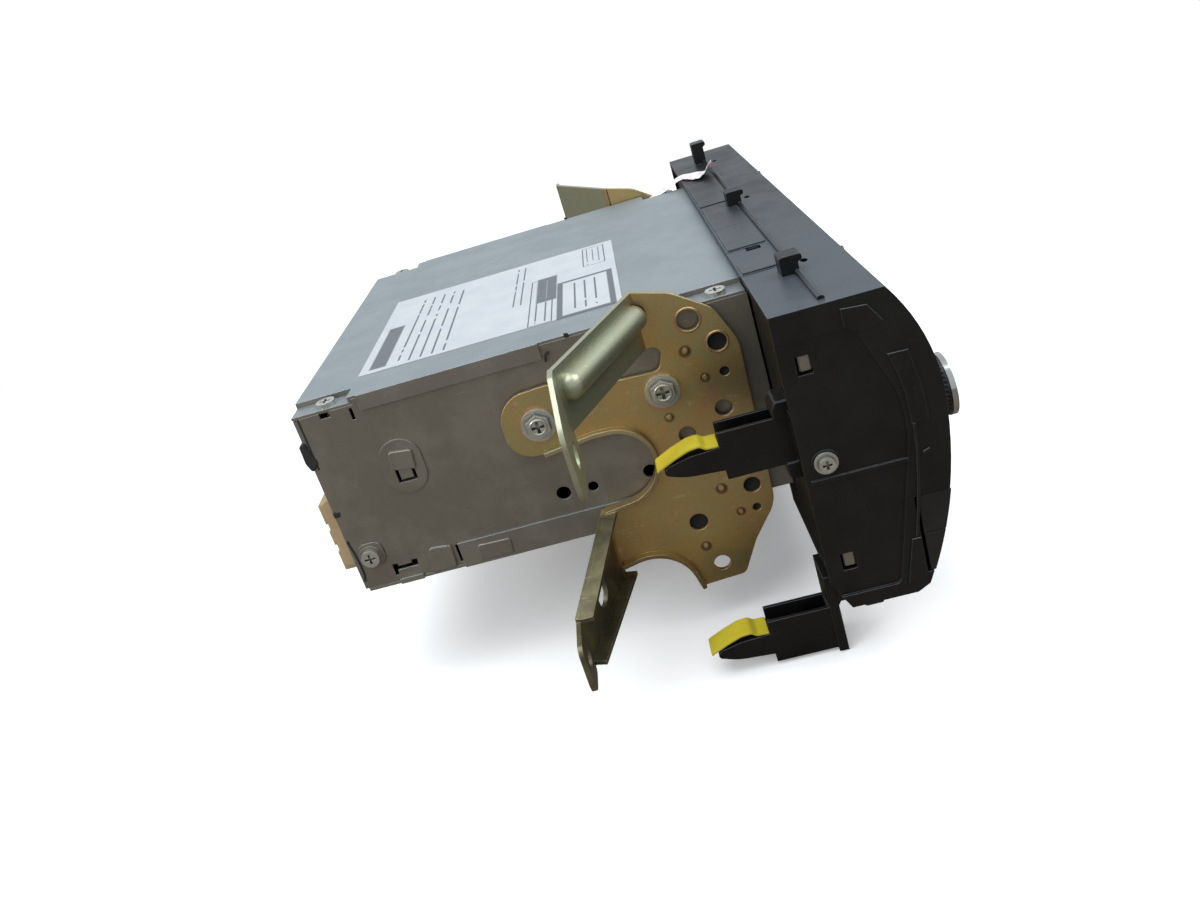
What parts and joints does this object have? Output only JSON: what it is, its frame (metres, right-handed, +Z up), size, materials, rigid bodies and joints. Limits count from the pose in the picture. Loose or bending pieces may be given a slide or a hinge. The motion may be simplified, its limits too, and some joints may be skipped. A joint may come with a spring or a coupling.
{
  "type": "car cd player",
  "caption": "Slot-loading car CD player with folded steel case, side brackets, curved snap-in dashboard bezel, rotary knobs, push buttons and a working disc mechanism.",
  "frame": {"origin": "midway between the two upper bracket ear holes, on the rear faces of the ears, which lie against the dashboard frame", "axes": "+X to the right as the driver sees the face, +Y to the rear of the unit (the face looks to -Y), +Z up"},
  "size_m": [0.324, 0.218, 0.1344],
  "materials": {
    "galvanised": "matt zinc-coated sheet",
    "side_sheet": "matt zinc-coated sheet",
    "yellow_zinc": "yellow passivated zinc",
    "zinc_screw": "zinc plated",
    "heat_aluminium": "extruded, plain",
    "beige_plastic": "moulded",
    "contact_brass": "tinned",
    "plain_steel": "bright",
    "tinned_can": "tinned",
    "board_green": "lacquered",
    "chip_black": "moulded",
    "capacitor_sleeve": "sleeved",
    "damper_rubber": "soft",
    "roller_rubber": "ground",
    "white_plastic": "moulded",
    "dark_plastic": "moulded",
    "lens_clear": "clear, coated",
    "bezel_black": "fine grained",
    "face_black": "satin",
    "window_smoke": "smoked, polished",
    "button_black": "satin",
    "knob_black": "ribbed",
    "knob_chrome": "polished",
    "spring_yellow": "yellow passivated",
    "label_paper": "printed film, bare",
    "tape_white": "thin film"
  },
  "bodies": {
    "unit": {"chassis_frame": "side_sheet", "top_cover": "galvanised", "bottom_cover": "galvanised", "rear_panel": "galvanised", "heat_sink": "heat_aluminium", "left_bracket": "yellow_zinc", "right_bracket": "yellow_zinc", "bracket_bolts": "zinc_screw", "case_screws": "zinc_screw", "main_connector": "beige_plastic", "connector_pins": "contact_brass", "antenna_socket": "plain_steel", "tuner_module": "tinned_can", "rating_label": "label_paper", "seal_tape": "tape_white", "main_board": "board_green", "amplifier_chip": "chip_black", "capacitors": "capacitor_sleeve", "deck_base": "galvanised", "deck_dampers": "damper_rubber", "disc_guide": "dark_plastic", "guide_rods": "plain_steel", "spindle_motor": "tinned_can", "sled_motor": "tinned_can", "loading_motor": "tinned_can", "clamp_spring": "plain_steel", "front_bezel": "bezel_black", "face_panel": "face_black", "display_lens": "window_smoke", "display_module": "dark_plastic", "front_board": "board_green", "rotary_encoders": "tinned_can", "bezel_spring_clips": "spring_yellow", "bezel_screws": "zinc_screw"},
    "volume_dial": {"volume_knob": "knob_black", "volume_knob_ring": "knob_chrome", "volume_shaft": "plain_steel"},
    "tune_dial": {"tune_knob": "knob_black", "tune_knob_ring": "knob_chrome", "tune_shaft": "plain_steel"},
    "spindle": {"turntable": "dark_plastic"},
    "clamp": {"clamp_arm": "galvanised"},
    "clamp_disc": {"clamp_puck": "white_plastic"},
    "pickup": {"pickup_sled": "dark_plastic", "pickup_lens": "lens_clear"},
    "screw": {"lead_screw": "plain_steel"},
    "roller": {"loading_roller": "roller_rubber", "roller_gear": "white_plastic"},
    "pinion": {"motor_pinion": "contact_brass"},
    "preset_button_1_key": {"preset_button_1": "button_black"},
    "preset_button_2_key": {"preset_button_2": "button_black"},
    "preset_button_3_key": {"preset_button_3": "button_black"},
    "preset_button_4_key": {"preset_button_4": "button_black"},
    "preset_button_5_key": {"preset_button_5": "button_black"},
    "preset_button_6_key": {"preset_button_6": "button_black"},
    "eject_button_key": {"eject_button": "button_black"},
    "left_upper_button_key": {"left_upper_button": "button_black"},
    "left_lower_button_key": {"left_lower_button": "button_black"},
    "right_upper_button_key": {"right_upper_button": "button_black"},
    "right_lower_button_key": {"right_lower_button": "button_black"}
  },
  "joints": [
    {"name": "volume_turn", "type": "hinge", "parent": "unit", "child": "volume_dial", "pos_m": [-0.108, -0.0935, -0.0287], "axis": [0, 1, 0], "continuous": true},
    {"name": "tune_turn", "type": "hinge", "parent": "unit", "child": "tune_dial", "pos_m": [0.108, -0.0935, -0.0287], "axis": [0, 1, 0], "continuous": true},
    {"name": "disc_spin", "type": "hinge", "parent": "unit", "child": "spindle", "pos_m": [0, 0.0145, -0.01], "axis": [0, 0, 1], "continuous": true},
    {"name": "clamp_swing", "type": "hinge", "parent": "unit", "child": "clamp", "pos_m": [0, 0.0825, 0.0085], "axis": [1, 0, 0], "range_deg": [0, 2.4]},
    {"name": "clamp_disc_spin", "type": "hinge", "parent": "clamp", "child": "clamp_disc", "pos_m": [0, 0.0145, 0.008], "axis": [0, 0, 1], "continuous": true},
    {"name": "pickup_slide", "type": "slide", "parent": "unit", "child": "pickup", "axis": [0, 1, 0], "range_m": [0, 0.035]},
    {"name": "screw_turn", "type": "hinge", "parent": "unit", "child": "screw", "pos_m": [0.026, 0.0365, -0.01], "axis": [0, -1, 0], "range_deg": [0, 4202]},
    {"name": "roller_turn", "type": "hinge", "parent": "unit", "child": "roller", "pos_m": [0, -0.0495, -0.0053], "axis": [1, 0, 0], "continuous": true},
    {"name": "pinion_turn", "type": "hinge", "parent": "unit", "child": "pinion", "pos_m": [0.064, -0.03534, -0.0079], "axis": [1, 0, 0], "continuous": true},
    {"name": "preset_button_1_press", "type": "slide", "parent": "unit", "child": "preset_button_1_key", "axis": [0, 1, 0], "range_m": [0, 0.0008], "stiffness_N_per_m": 900, "springref_m": -0.0004},
    {"name": "preset_button_2_press", "type": "slide", "parent": "unit", "child": "preset_button_2_key", "axis": [0, 1, 0], "range_m": [0, 0.0008], "stiffness_N_per_m": 900, "springref_m": -0.0004},
    {"name": "preset_button_3_press", "type": "slide", "parent": "unit", "child": "preset_button_3_key", "axis": [0, 1, 0], "range_m": [0, 0.0008], "stiffness_N_per_m": 900, "springref_m": -0.0004},
    {"name": "preset_button_4_press", "type": "slide", "parent": "unit", "child": "preset_button_4_key", "axis": [0, 1, 0], "range_m": [0, 0.0008], "stiffness_N_per_m": 900, "springref_m": -0.0004},
    {"name": "preset_button_5_press", "type": "slide", "parent": "unit", "child": "preset_button_5_key", "axis": [0, 1, 0], "range_m": [0, 0.0008], "stiffness_N_per_m": 900, "springref_m": -0.0004},
    {"name": "preset_button_6_press", "type": "slide", "parent": "unit", "child": "preset_button_6_key", "axis": [0, 1, 0], "range_m": [0, 0.0008], "stiffness_N_per_m": 900, "springref_m": -0.0004},
    {"name": "eject_button_press", "type": "slide", "parent": "unit", "child": "eject_button_key", "axis": [0, 1, 0], "range_m": [0, 0.0008], "stiffness_N_per_m": 900, "springref_m": -0.0004},
    {"name": "left_upper_button_press", "type": "slide", "parent": "unit", "child": "left_upper_button_key", "axis": [0, 1, 0], "range_m": [0, 0.0008], "stiffness_N_per_m": 900, "springref_m": -0.0004},
    {"name": "left_lower_button_press", "type": "slide", "parent": "unit", "child": "left_lower_button_key", "axis": [0, 1, 0], "range_m": [0, 0.0008], "stiffness_N_per_m": 900, "springref_m": -0.0004},
    {"name": "right_upper_button_press", "type": "slide", "parent": "unit", "child": "right_upper_button_key", "axis": [0, 1, 0], "range_m": [0, 0.0008], "stiffness_N_per_m": 900, "springref_m": -0.0004},
    {"name": "right_lower_button_press", "type": "slide", "parent": "unit", "child": "right_lower_button_key", "axis": [0, 1, 0], "range_m": [0, 0.0008], "stiffness_N_per_m": 900, "springref_m": -0.0004}
  ],
  "couplings": [
    {"joint": "screw_turn", "follows": "pickup_slide", "rad_per_m": 2094.4},
    {"joint": "pinion_turn", "follows": "roller_turn", "ratio": -2}
  ]
}
